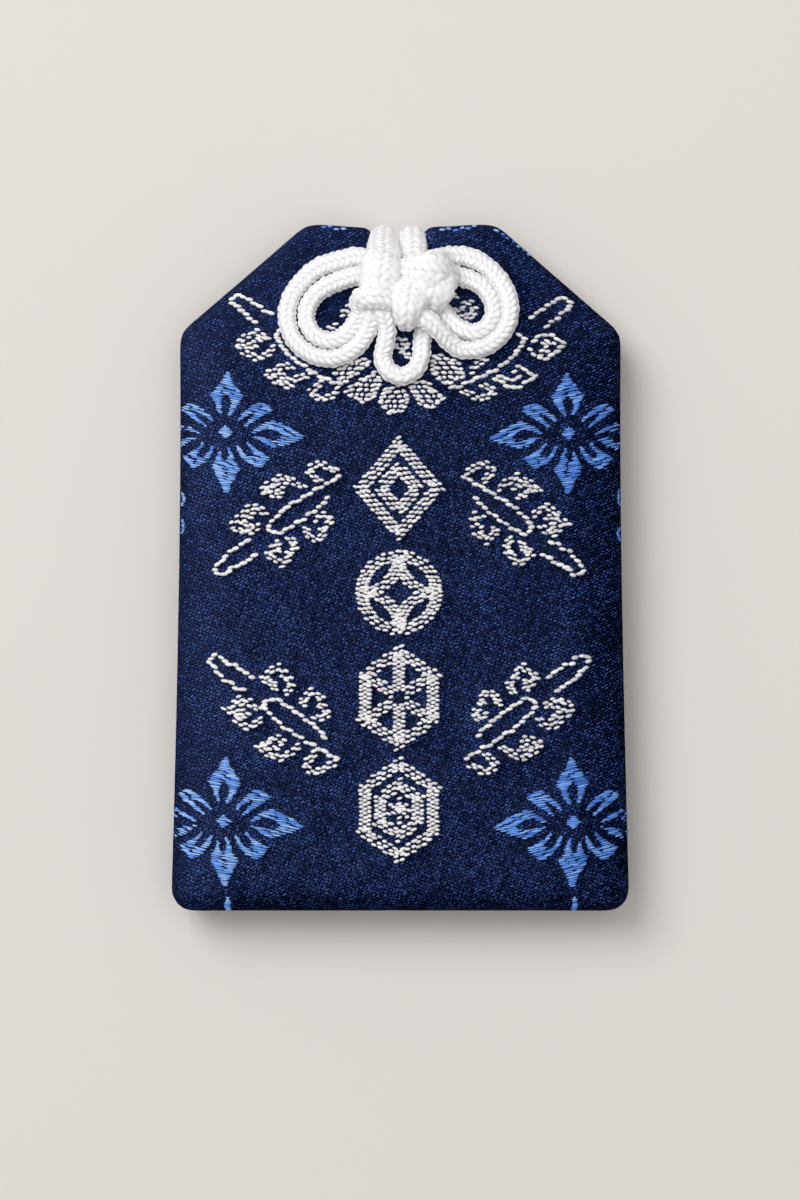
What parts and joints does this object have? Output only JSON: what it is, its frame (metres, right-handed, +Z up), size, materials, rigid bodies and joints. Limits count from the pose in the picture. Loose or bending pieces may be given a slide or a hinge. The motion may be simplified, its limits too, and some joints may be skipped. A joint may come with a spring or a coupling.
{
  "type": "omamori charm",
  "caption": "Flat navy brocade amulet pouch with slanted shoulders, closed by a white braided cord knot, with a hanging loop behind and a wrapped slip inside.",
  "frame": {"origin": "centre of the charm's box on the surface that it lies on", "axes": "+X across the width, +Y along the length towards the mouth and the knot, +Z up through the thickness, front face up"},
  "size_m": [0.048, 0.072, 0.0138],
  "materials": {
    "brocade": "woven navy brocade with raised off-white and satin blue figures",
    "interfacing": "matt nonwoven",
    "card": "matt",
    "wadding": "loose cotton",
    "paper": "smooth",
    "wood": "planed",
    "thread": "twisted thread",
    "cord": "round braid with a soft sheen"
  },
  "bodies": {
    "pouch": {"front_panel": "brocade", "back_panel": "brocade", "front_interfacing": "interfacing", "back_interfacing": "interfacing", "stiffener_card": "card", "wadding_sheet": "wadding", "seam_thread_left": "thread", "seam_thread_right": "thread", "seam_thread_bottom": "thread", "knot_cord": "cord", "tongue_cord": "cord", "loop_bend_left": "cord", "loop_bend_right": "cord"},
    "hanging_loop": {"hanging_loop": "cord"},
    "slip": {"slip_wrapper": "paper", "charm_slip": "wood"}
  },
  "joints": [
    {"name": "hanging_loop_swing", "type": "hinge", "parent": "pouch", "child": "hanging_loop", "pos_m": [0, 0.0324, 0.0034], "axis": [1, 0, 0], "range_deg": [0, 180], "deforming": ["loop_bend_left", "loop_bend_right"]},
    {"name": "slip_slide", "type": "slide", "parent": "pouch", "child": "slip", "axis": [0, 1, 0], "range_m": [-0.002, 0.002]}
  ]
}
